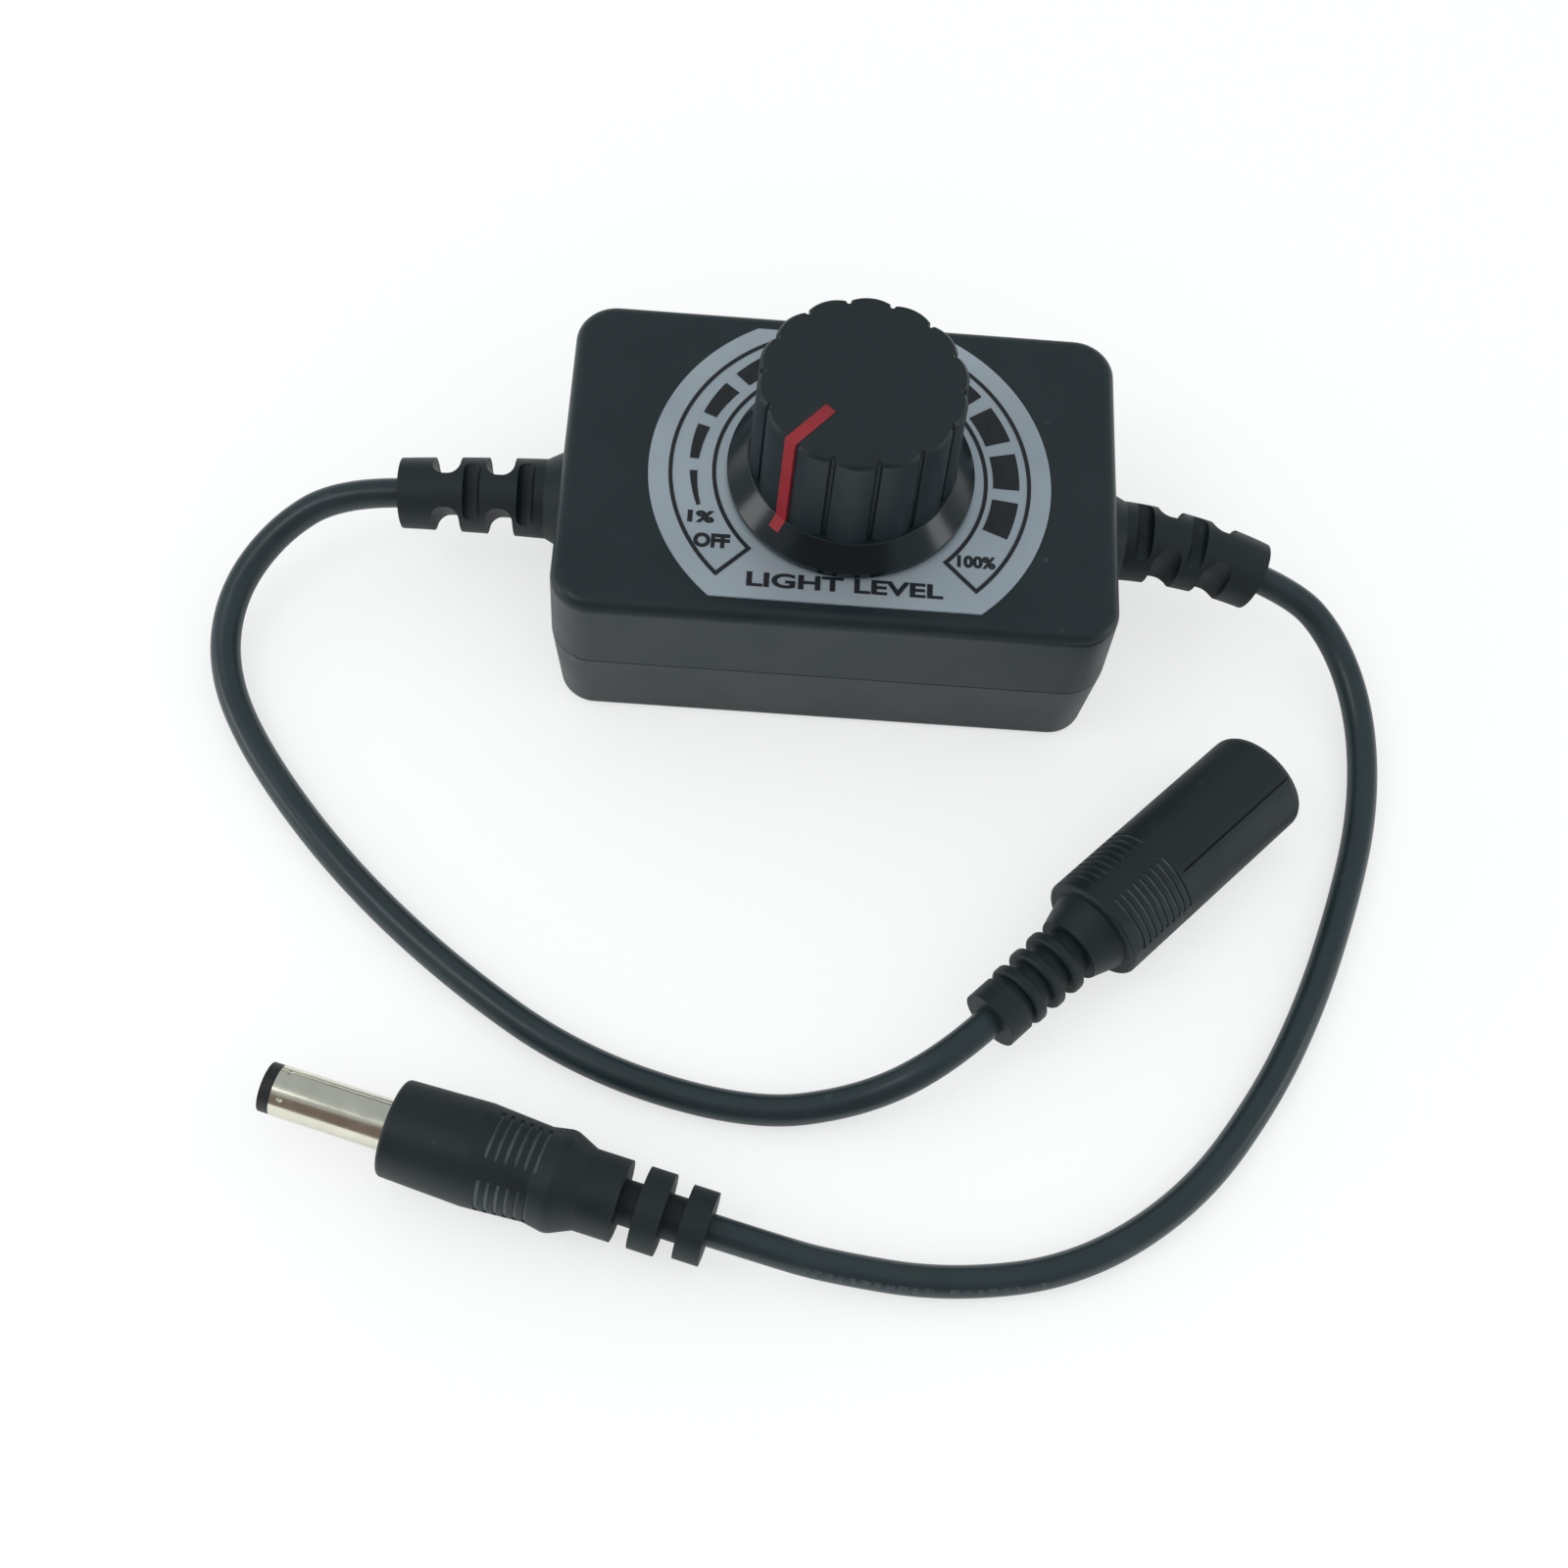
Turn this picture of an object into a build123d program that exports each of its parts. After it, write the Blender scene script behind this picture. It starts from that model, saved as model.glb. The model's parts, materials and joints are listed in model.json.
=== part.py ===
import os
from math import atan, cos, degrees, radians, sin, tan

from build123d import *

os.makedirs("parts", exist_ok=True)

# In-line rotary dimmer, in millimetres. The origin is under the middle of the case, on the table.
# X runs along the leads, the front of the case faces -Y and the knob points up.

# Case: two shells that meet at a seam, the lower one leaning in towards the table
case_length = 64.0
case_depth = 42.5
case_height = 23.5
seam_height = 12.0
corner_radius = 5.0
wall = 2.0
upper_inset = 0.2
lower_inset = 0.9
top_edge = 1.5
bottom_edge = 1.5
seam_edge = 0.12
lip_height = 1.2
lip_thickness = 0.8

# Clearances: between fixed pieces that nest, between bonded pieces, and round what turns
nest_gap = 0.1
bond_gap = 0.02
turn_gap = 0.05
swing_gap = 0.4

# Screws that close the case from below
post_radius = 3.5
screw_radius = 1.3
screw_length = 12.0
screw_head_radius = 2.3
screw_head_height = 1.7
screw_seat = 4.5
screw_slot_width = 0.7
screw_slot_depth = 0.9

# Dial: label, print and knob share one axis
dial_x = 1.0
dial_y = -1.3
label_radius = 23.0
label_margin = 0.95
label_thickness = 0.25
print_thickness = 0.08
band_outer = 20.7
band_inner = 15.3
band_line = 0.45
band_open = 89.0
bar_count = 11
bar_first = 198.0
bar_pitch = 20.5
bar_span = 15.0
bar_middle = 17.85
bar_thin = 0.45
bar_thick = 3.0
bar_growth = 90.0

# Rotary control under the lid: bush, nut, housing, turning shaft
bush_radius = 3.5
shaft_radius = 3.0
washer_radius = 6.0
washer_thickness = 0.5
nut_across_flats = 10.0
nut_thickness = 2.0
bush_stand = 1.0
plate_thickness = 0.8
track_thickness = 0.8
pot_radius = 8.2
pot_wall = 0.9
pot_depth = 6.6
wiper_height = 0.9
terminal_width = 0.8
terminal_thickness = 0.4
terminal_pitch = 5.0
terminal_reach = 1.0
terminal_tail = 1.2
switch_width = 14.0

# Knob
knob_height = 17.0
knob_top_radius = 11.5
knob_base_radius = 11.8
knob_lobes = 14
lobe_radius = 4.2
lobe_groove = 0.3
lobe_edge = 0.2
knob_chamfer = 0.35
skirt_radius = 14.1
skirt_rim = 0.7
skirt_height = 3.3
knob_wall = 1.0
hub_radius = 5.0
hub_rib = 1.2
shaft_flat = 1.5
shaft_grip = 9.5
pointer_angle = -131.0
pointer_width = 1.4
pointer_inner = 5.2
pointer_depth = 0.7
pointer_proud = 0.06
pointer_foot = 1.2

# Circuit board and what stands on it
board_thickness = 1.6
board_standoff = 2.0
board_side_gap = 1.0
board_end_gap = 6.1
standoff_radius = 1.8
standoff_inset = 4.0
standoff_spacing = 12.0
switch_standoff = 1.9

# Parts on the board, each placed from the board's nearest end and side
transistor_inset = (6.0, 7.5)
transistor_body = (6.6, 6.1, 2.3)
transistor_tab = (5.4, 2.4, 0.6)
chip_inset = (9.0, 6.5)
chip_body = (5.0, 3.9, 1.5)
chip_leg_pitch = 1.27
chip_leg_count = 4
chip_span = 6.0
can_inset = (7.0, 7.0)
can_radius = 4.0
can_height = 11.5
can_groove = 0.35
diode_inset = (7.5, 7.0)
diode_radius = 1.35
diode_length = 5.2
diode_leg = 0.4
diode_span = 8.6
resistor_size = (2.0, 1.25, 0.55)
resistor_pitch = 2.4

# Lead and the ribbed glands that hold it
lead_radius = 1.75
gland_y = 0.4
neck_radius = 3.5
flange_radius = 5.0
flange_thickness = 1.5
flare_radius = 5.85
flare_length = 2.2
gland_base_radius = 4.7
gland_end_radius = 4.15
slot_start = 3.3
slot_pairs = 2
face_slot_width = 2.0
face_slot_web = 5.6
face_slot_round = 0.8
side_slot_width = 3.3
side_slot_web = 4.0
side_slot_round = 1.4
rib_width = 0.5
gland_end_width = 3.8
input_bend = 4.0
input_droop = 15.0
input_roll = 27.0
output_bend = 20.0
output_droop = 37.0
output_roll = 7.0

# Wires inside the case
wire_radius = 0.7
wire_spacing = 2.2
wire_bend = 3.0
wire_landing = 3.0

# Socket on the input lead, lying on the table: its cable end, heading and profile
socket_end = (19.7, -59.6)
socket_heading = 45.6
socket_length = 45.3
socket_body_length = 29.2
socket_radius = 6.35
socket_nose_radius = 6.25
socket_nose_edge = 1.6
socket_shoulder_edge = 0.5
socket_cone_length = 3.6
socket_cone_small = 3.95
socket_cone_large = 5.1
socket_collar_radius = 3.5
socket_collar_length = 3.0
socket_rib_count = 3
socket_rib_pitch = 2.8
socket_rib_width = 1.4
socket_rib_edge = 0.4
socket_rib_step = 0.12
socket_core_radius = 2.8
insert_radius = 4.2
insert_length = 14.0
insert_recess = 0.3
socket_bore_radius = 2.85
socket_bore_depth = 10.5
socket_pin_radius = 1.0
socket_pin_recess = 1.0
spring_width = 1.4
spring_thickness = 0.35
spring_recess = 2.0
socket_grip_start = 1.9
socket_grip_turn = 35.0
parting_turn = 28.0
parting_width = 0.3
parting_depth = 0.2

# Plug on the output lead, lying on the table: its tip, heading and profile
plug_tip = (-57.0, -72.0)
plug_heading = -14.6
barrel_length = 14.2
barrel_radius = 2.75
barrel_wall = 0.25
barrel_seat = 4.0
tip_ring = 1.3
tip_ring_radius = 2.7
tip_mouth_radius = 1.3
contact_radius = 1.4
contact_bore_radius = 1.05
plug_body_length = 35.0
plug_radius = 5.6
plug_nose_radius = 5.25
plug_nose_edge = 0.5
plug_edge = 2.0
plug_grip_start = 9.5
plug_grip_offset = 1.7
plug_grip_turn = -16.5
plug_waist_radius = 5.15
plug_waist_length = 6.7
plug_bulge_length = 2.5
plug_shoulder_length = 2.7
plug_neck_radius = 4.4
plug_neck_length = 4.0
plug_groove = 2.0
plug_ring_width = 2.8
plug_end_radius = 3.95
plug_core_radius = 2.4
dimple_radius = 0.4
dimple_depth = 0.3
dimple_from_tip = 1.1
dimple_spread = 70.0

# Fine grip lines moulded in the plug and the socket
grip_depth = 0.22
grip_line = 0.4
grip_arc = 65.0
grip_patches = 4
socket_grip_lines = 9
socket_grip_pitch = 0.95
plug_grip_lines = 6
plug_grip_pitch = 1.05

# Heights that follow from the sizes above
mount_z = case_height - wall
label_top = case_height + label_thickness
washer_top = label_top + washer_thickness
nut_top = washer_top + nut_thickness
bush_top = nut_top + bush_stand
plate_bottom = mount_z - plate_thickness
track_bottom = plate_bottom - track_thickness
pot_bottom = plate_bottom - pot_depth
board_bottom = wall + board_standoff
board_top = board_bottom + board_thickness
switch_bottom = board_top + switch_standoff
knob_bottom = label_top + swing_gap
knob_top = knob_bottom + knob_height
flute_bottom = knob_bottom + skirt_height
hub_bottom = bush_top + swing_gap
shaft_top = hub_bottom + shaft_grip

screw_inset = wall + lower_inset + nest_gap + post_radius
screw_x = case_length / 2 - screw_inset
screw_y = case_depth / 2 - screw_inset
screw_places = [(x, y) for x in (-screw_x, screw_x) for y in (-screw_y, screw_y)]
board_length = case_length - 2 * (wall + lower_inset + board_end_gap)
board_depth = case_depth - 2 * (wall + lower_inset + board_side_gap)
gland_pitch = face_slot_width + side_slot_width + 2 * rib_width
gland_length = slot_start + slot_pairs * gland_pitch - rib_width + gland_end_width
neck_length = wall + lower_inset + nest_gap
board_hole = (terminal_width**2 + terminal_thickness**2) ** 0.5 / 2 + nest_gap
standing = (Align.CENTER, Align.CENTER, Align.MIN)
dial = Plane((dial_x, dial_y, 0))
dial_axis = Axis((dial_x, dial_y, 0), (0, 0, 1))


def keep(builder, name):
    builder.part.label = name
    export_step(builder.part, f"parts/{name}.step")


def case_outline(inset):
    RectangleRounded(case_length - 2 * inset, case_depth - 2 * inset, corner_radius - inset)


def dial_level(z):
    return dial.offset(z)


def gland_hole():
    # Round opening for both glands, half in each shell
    with Locations((0, gland_y, seam_height)):
        Cylinder(neck_radius + nest_gap, case_length + wall, rotation=(0, 90, 0), mode=Mode.SUBTRACT)


def lean(inset, height):
    return degrees(atan(inset / height))


# Upper shell
with BuildPart() as upper_case:
    upper_height = case_height - seam_height
    with BuildSketch(Plane.XY.offset(seam_height)):
        case_outline(0)
    extrude(amount=upper_height, taper=lean(upper_inset, upper_height))
    fillet(upper_case.faces().sort_by(Axis.Z)[-1].edges(), top_edge)
    fillet(upper_case.faces().sort_by(Axis.Z)[0].edges(), seam_edge)
    with BuildSketch(Plane.XY.offset(seam_height)):
        case_outline(wall + upper_inset)
    extrude(amount=mount_z - seam_height, mode=Mode.SUBTRACT)
    with BuildSketch(Plane.XY.offset(seam_height)):
        case_outline(wall - lip_thickness - nest_gap)
    extrude(amount=lip_height + nest_gap, mode=Mode.SUBTRACT)
    with BuildSketch(Plane.XY.offset(seam_height)):
        with Locations(*screw_places):
            Circle(post_radius)
    extrude(amount=mount_z - seam_height)
    with BuildSketch(Plane.XY.offset(seam_height)):
        with Locations(*screw_places):
            Circle(screw_radius + bond_gap)
    extrude(amount=screw_seat + screw_length + nest_gap - seam_height, mode=Mode.SUBTRACT)
    with BuildSketch(dial_level(mount_z)):
        Circle(bush_radius + nest_gap)
    extrude(amount=wall, mode=Mode.SUBTRACT)
    gland_hole()
keep(upper_case, "upper_case")

# Lower shell, with the lip, the screw posts and the board's standoffs
standoff_reach = board_length - 2 * standoff_inset
with BuildPart() as lower_case:
    with BuildSketch():
        case_outline(lower_inset)
    extrude(amount=seam_height, taper=-lean(lower_inset, seam_height))
    fillet(lower_case.faces().sort_by(Axis.Z)[0].edges(), bottom_edge)
    fillet(lower_case.faces().sort_by(Axis.Z)[-1].edges(), seam_edge)
    with BuildSketch(Plane.XY.offset(seam_height)):
        case_outline(wall - lip_thickness)
    extrude(amount=lip_height)
    with BuildSketch(Plane.XY.offset(wall)):
        case_outline(wall + lower_inset)
    extrude(amount=seam_height, mode=Mode.SUBTRACT)
    with BuildSketch(Plane.XY.offset(wall)):
        with Locations(*screw_places):
            Circle(post_radius)
    extrude(amount=seam_height - wall)
    with BuildSketch(Plane.XY.offset(wall)):
        with GridLocations(standoff_reach, standoff_spacing, 2, 2):
            Circle(standoff_radius)
    extrude(amount=board_standoff)
    with BuildSketch():
        with Locations(*screw_places):
            Circle(screw_radius + nest_gap)
    extrude(amount=seam_height, mode=Mode.SUBTRACT)
    with BuildSketch():
        with Locations(*screw_places):
            Circle(screw_head_radius + nest_gap)
    extrude(amount=screw_seat, mode=Mode.SUBTRACT)
    gland_hole()
keep(lower_case, "lower_case")

# Four cross-head screws
with BuildPart() as case_screws:
    with BuildSketch(Plane.XY.offset(screw_seat - screw_head_height)):
        with Locations(*screw_places):
            Circle(screw_head_radius)
    extrude(amount=screw_head_height)
    with BuildSketch(Plane.XY.offset(screw_seat)):
        with Locations(*screw_places):
            Circle(screw_radius)
    extrude(amount=screw_length)
    with BuildSketch(Plane.XY.offset(screw_seat - screw_head_height)):
        with Locations(*screw_places):
            Rectangle(2 * screw_radius, screw_slot_width)
            Rectangle(screw_slot_width, 2 * screw_radius)
    extrude(amount=screw_slot_depth, mode=Mode.SUBTRACT)
keep(case_screws, "case_screws")

# Dial label: a disc cut straight along the front and back edges of the lid
label_reach = case_depth / 2 - upper_inset - top_edge - label_margin
with BuildPart() as dial_label:
    with BuildSketch(Plane.XY.offset(case_height)):
        with Locations((dial_x, dial_y)):
            Circle(label_radius)
        Rectangle(case_length, 2 * label_reach, mode=Mode.INTERSECT)
        with Locations((dial_x, dial_y)):
            Circle(bush_radius + nest_gap, mode=Mode.SUBTRACT)
    extrude(amount=label_thickness)
keep(dial_label, "dial_label")


# Printed scale: an open band drawn as one line, and bars that grow towards full brightness
def bar_reach(turned):
    return (bar_thin + (bar_thick - bar_thin) * min(turned / bar_growth, 1)) / 2


band_sweep = 360 - band_open
with BuildPart() as dial_print:
    with BuildSketch(dial_level(label_top)):
        band_start = -90 - band_open / 2
        with BuildLine():
            CenterArc((0, 0), band_outer, band_start, -band_sweep)
            CenterArc((0, 0), band_inner, band_start, -band_sweep)
            for end in (band_start, band_start - band_sweep):
                direction = Vector(1, 0).rotate(Axis.Z, end)
                Line(direction * band_inner, direction * band_outer)
        make_face()
        offset(amount=-band_line, kind=Kind.INTERSECTION, mode=Mode.SUBTRACT)
    extrude(amount=print_thickness)
    for bar in range(bar_count):
        inner_points = []
        outer_points = []
        for part_way in (0, 0.5, 1):
            turned = bar * bar_pitch + part_way * bar_span
            direction = Vector(1, 0).rotate(Axis.Z, bar_first - turned)
            inner_points.append(direction * (bar_middle - bar_reach(turned)))
            outer_points.append(direction * (bar_middle + bar_reach(turned)))
        with BuildSketch(dial_level(label_top)):
            with BuildLine():
                inner = ThreePointArc(*inner_points)
                outer = ThreePointArc(*outer_points)
                Line(inner @ 0, outer @ 0)
                Line(inner @ 1, outer @ 1)
            make_face()
        extrude(amount=print_thickness)
keep(dial_print, "dial_print")

# Mounting plate and threaded bush of the rotary control
with BuildPart() as pot_frame:
    with BuildSketch(dial_level(plate_bottom)):
        Circle(pot_radius)
    extrude(amount=plate_thickness)
    with BuildSketch(dial_level(mount_z)):
        Circle(bush_radius)
    extrude(amount=bush_top - mount_z)
    with BuildSketch(dial_level(plate_bottom)):
        Circle(shaft_radius + turn_gap)
    extrude(amount=bush_top - plate_bottom, mode=Mode.SUBTRACT)
keep(pot_frame, "pot_frame")

with BuildPart() as pot_washer:
    with BuildSketch(dial_level(label_top)):
        Circle(washer_radius)
        Circle(bush_radius + nest_gap, mode=Mode.SUBTRACT)
    extrude(amount=washer_thickness)
keep(pot_washer, "pot_washer")

with BuildPart() as pot_nut:
    with BuildSketch(dial_level(washer_top)):
        RegularPolygon(nut_across_flats / 2, 6, major_radius=False)
        Circle(bush_radius + bond_gap, mode=Mode.SUBTRACT)
    extrude(amount=nut_thickness)
keep(pot_nut, "pot_nut")

# Cup under the plate, open at the front where the terminals come out
terminal_y = -pot_radius - terminal_reach
terminal_field = 2 * terminal_pitch + 2 * terminal_width
with BuildPart() as pot_housing:
    with BuildSketch(dial_level(pot_bottom)):
        Circle(pot_radius)
    extrude(amount=pot_depth)
    with BuildSketch(dial_level(pot_bottom + pot_wall)):
        Circle(pot_radius - pot_wall)
    extrude(amount=pot_depth, mode=Mode.SUBTRACT)
    with BuildSketch(dial_level(track_bottom - terminal_thickness - nest_gap)):
        with Locations((0, -pot_radius)):
            Rectangle(terminal_field, pot_radius)
    extrude(amount=pot_depth, mode=Mode.SUBTRACT)
keep(pot_housing, "pot_housing")

# Resistive track under the plate
track_radius = pot_radius - pot_wall - nest_gap
rotor_hub_radius = shaft_radius + pot_wall
with BuildPart() as pot_track:
    with BuildSketch(dial_level(track_bottom)):
        Circle(track_radius)
        Circle(rotor_hub_radius + swing_gap, mode=Mode.SUBTRACT)
    extrude(amount=track_thickness)
keep(pot_track, "pot_track")

# Three terminals: flat under the track, then down through the board
terminal_root = track_radius - terminal_thickness
with BuildPart() as pot_terminals:
    for step in (-1, 0, 1):
        with BuildSketch(dial_level(track_bottom - terminal_thickness)):
            with Locations((step * terminal_pitch, (terminal_y - terminal_root) / 2)):
                Rectangle(terminal_width, -terminal_y - terminal_root)
        extrude(amount=terminal_thickness)
        with BuildSketch(dial_level(board_bottom - terminal_tail)):
            with Locations((step * terminal_pitch, terminal_y + terminal_thickness / 2)):
                Rectangle(terminal_width, terminal_thickness)
        extrude(amount=track_bottom - board_bottom + terminal_tail)
keep(pot_terminals, "pot_terminals")

# Turning shaft, flattened where the knob grips it
rotor_bottom = pot_bottom + pot_wall + swing_gap
with BuildPart() as pot_shaft:
    with BuildSketch(dial_level(rotor_bottom)):
        Circle(shaft_radius)
    extrude(amount=shaft_top - rotor_bottom)
    with BuildSketch(dial_level(hub_bottom)):
        with Locations((0, shaft_flat + shaft_radius)):
            Rectangle(2 * shaft_radius, 2 * shaft_radius)
    extrude(amount=shaft_grip, mode=Mode.SUBTRACT)
keep(pot_shaft, "pot_shaft")

# Rotor disc on the shaft, with a hub that stops under the plate
rotor_radius = track_radius - swing_gap
rotor_top = track_bottom - swing_gap - wiper_height
with BuildPart() as pot_rotor:
    with BuildSketch(dial_level(rotor_bottom)):
        Circle(rotor_radius)
    extrude(amount=rotor_top - rotor_bottom)
    with BuildSketch(dial_level(rotor_top)):
        Circle(rotor_hub_radius)
    extrude(amount=plate_bottom - swing_gap - rotor_top)
    with BuildSketch(dial_level(rotor_bottom)):
        Circle(shaft_radius + bond_gap)
    extrude(amount=mount_z, mode=Mode.SUBTRACT)
keep(pot_rotor, "pot_rotor")

# Wiper: a spring ring round the hub with one raised finger
wiper_ring = terminal_thickness
finger_reach = terminal_root - 2 * swing_gap
with BuildPart() as pot_wiper:
    with BuildSketch(dial_level(rotor_top)):
        Circle(rotor_hub_radius + pot_wall)
        Circle(rotor_hub_radius + bond_gap, mode=Mode.SUBTRACT)
    extrude(amount=wiper_ring)
    with BuildSketch(dial_level(rotor_top)):
        with Locations((0, (rotor_hub_radius + bond_gap + finger_reach) / 2)):
            Rectangle(terminal_width, finger_reach - rotor_hub_radius - bond_gap)
    extrude(amount=wiper_height)
keep(pot_wiper, "pot_wiper")

# On-off switch behind the control, worked at the end of the shaft's travel
switch_pin_y = switch_width / 2 - 2 * terminal_width
with BuildPart() as switch_housing:
    with BuildSketch(dial_level(switch_bottom)):
        RectangleRounded(switch_width, switch_width, terminal_width)
    extrude(amount=pot_bottom - switch_bottom)
keep(switch_housing, "switch_housing")

with BuildPart() as switch_terminals:
    with BuildSketch(dial_level(board_bottom - terminal_tail)):
        with Locations((-terminal_pitch, switch_pin_y), (terminal_pitch, switch_pin_y)):
            Rectangle(terminal_width, terminal_thickness)
    extrude(amount=switch_bottom - board_bottom + terminal_tail)
keep(switch_terminals, "switch_terminals")

# Circuit board, notched round the screw posts and drilled for the terminals
with BuildPart() as circuit_board:
    with BuildSketch(Plane.XY.offset(board_bottom)):
        Rectangle(board_length, board_depth)
        with Locations(*screw_places):
            Circle(post_radius + nest_gap, mode=Mode.SUBTRACT)
    extrude(amount=board_thickness)
    with BuildSketch(dial_level(board_bottom)):
        with Locations((-terminal_pitch, switch_pin_y), (terminal_pitch, switch_pin_y)):
            Circle(board_hole)
        for step in (-1, 0, 1):
            with Locations((step * terminal_pitch, terminal_y + terminal_thickness / 2)):
                Circle(board_hole)
    extrude(amount=board_thickness, mode=Mode.SUBTRACT)
keep(circuit_board, "circuit_board")

# Power transistor: moulded body on a metal tab, lying on the board behind the output lead
transistor_x = board_length / 2 - transistor_inset[0]
transistor_y = board_depth / 2 - transistor_inset[1]
tab_reach = (transistor_body[1] + transistor_tab[1]) / 2
leg_size = (terminal_width, transistor_tab[1], transistor_tab[2])
with BuildPart() as power_transistor:
    with Locations((transistor_x, transistor_y, board_top)):
        Box(*transistor_body, align=standing)
    with Locations((transistor_x, transistor_y + tab_reach, board_top)):
        Box(*transistor_tab, align=standing)
    with Locations((transistor_x, transistor_y - tab_reach, board_top)):
        with GridLocations(transistor_body[0] - 2 * terminal_width, 0, 2, 1):
            Box(*leg_size, align=standing)
keep(power_transistor, "power_transistor")

# Control chip with legs along two sides
chip_x = chip_inset[0] - board_length / 2
chip_y = chip_inset[1] - board_depth / 2
with BuildPart() as control_chip:
    with Locations((chip_x, chip_y, board_top)):
        Box(*chip_body, align=standing)
        with GridLocations(chip_leg_pitch, 0, chip_leg_count, 1):
            Box(terminal_thickness, chip_span, terminal_thickness, align=standing)
keep(control_chip, "control_chip")

# Smoothing capacitor: an upright can with a rolled groove near its foot
can_x = can_inset[0] - board_length / 2
can_y = board_depth / 2 - can_inset[1]
with BuildPart() as filter_capacitor:
    with BuildSketch(Plane((can_x, can_y, board_top))):
        Circle(can_radius)
    extrude(amount=can_height)
    fillet(filter_capacitor.faces().sort_by(Axis.Z)[-1].edges(), can_groove)
    with BuildSketch(Plane((can_x, can_y, board_top + 3 * can_groove))):
        Circle(can_radius)
        Circle(can_radius - can_groove, mode=Mode.SUBTRACT)
    extrude(amount=2 * can_groove, mode=Mode.SUBTRACT)
keep(filter_capacitor, "filter_capacitor")

# Diode lying on the board, with its two bent legs
diode_x = board_length / 2 - diode_inset[0]
diode_y = diode_inset[1] - board_depth / 2
with BuildPart() as flyback_diode:
    with Locations((diode_x, diode_y, board_top + diode_radius)):
        Cylinder(diode_radius, diode_length, rotation=(0, 90, 0))
        Cylinder(diode_leg, diode_span, rotation=(0, 90, 0))
    with Locations((diode_x, diode_y, board_top)):
        with GridLocations(diode_span - 2 * diode_leg, 0, 2, 1):
            Cylinder(diode_leg, diode_radius, align=standing)
keep(flyback_diode, "flyback_diode")

# Chip resistors: two behind the control chip, two in front of the diode
with BuildPart() as chip_resistors:
    with Locations((chip_x, chip_y + chip_span, board_top)):
        with GridLocations(0, resistor_pitch, 1, 2):
            Box(*resistor_size, align=standing)
    with Locations((diode_x, diode_y - 2 * diode_radius, board_top)):
        with GridLocations(resistor_pitch, 0, 2, 1):
            Box(*resistor_size, align=standing)
keep(chip_resistors, "chip_resistors")

# Knob pointer: a red strip let into the top, down one groove of the side and onto the skirt
def radial_plane(angle):
    # Upright plane through the knob's axis: local X outwards, local Y up
    outward = Vector(1, 0, 0).rotate(Axis.Z, angle)
    return Plane((dial_x, dial_y, 0), x_dir=outward, z_dir=outward.cross(Vector(0, 0, 1)))


skirt_drop = skirt_height - skirt_rim
foot_z = flute_bottom - pointer_foot
foot_radius = knob_base_radius + (skirt_radius - knob_base_radius) * pointer_foot / skirt_drop
with BuildPart() as knob_pointer:
    with BuildSketch(radial_plane(pointer_angle)):
        with BuildLine():
            Polyline(
                (pointer_inner, knob_top + pointer_proud),
                (knob_top_radius, knob_top + pointer_proud),
                (knob_base_radius + pointer_proud, flute_bottom),
                (foot_radius + pointer_proud, foot_z),
                (knob_base_radius - 2 * pointer_depth, foot_z),
                (knob_top_radius - 2 * pointer_depth, knob_top - pointer_depth),
                (pointer_inner, knob_top - pointer_depth),
                close=True,
            )
        make_face()
    extrude(amount=pointer_width / 2, both=True)
keep(knob_pointer, "knob_pointer")


def notch_radius(radius):
    # Distance from the knob's axis to where two lobes meet
    middle = radius - lobe_radius
    half = radians(180 / knob_lobes)
    return middle * cos(half) + (lobe_radius**2 - (middle * sin(half)) ** 2) ** 0.5


def lobed_outline(radius):
    # Broad rounded lobes with a groove between each pair
    pitch = 360 / knob_lobes
    middle = radius - lobe_radius
    Circle(middle + lobe_radius / 2)
    with PolarLocations(middle, knob_lobes, start_angle=pointer_angle + pitch / 2):
        Circle(lobe_radius)
    with PolarLocations(notch_radius(radius), knob_lobes, start_angle=pointer_angle):
        Circle(lobe_groove, mode=Mode.SUBTRACT)


def groove_corners(outline, radius):
    # The sharp corners at the mouth of each groove, in the outline's own axes
    reach = radius - lobe_edge / 2
    return [corner for corner in outline.vertices() if (corner.X**2 + corner.Y**2) ** 0.5 < reach]


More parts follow.
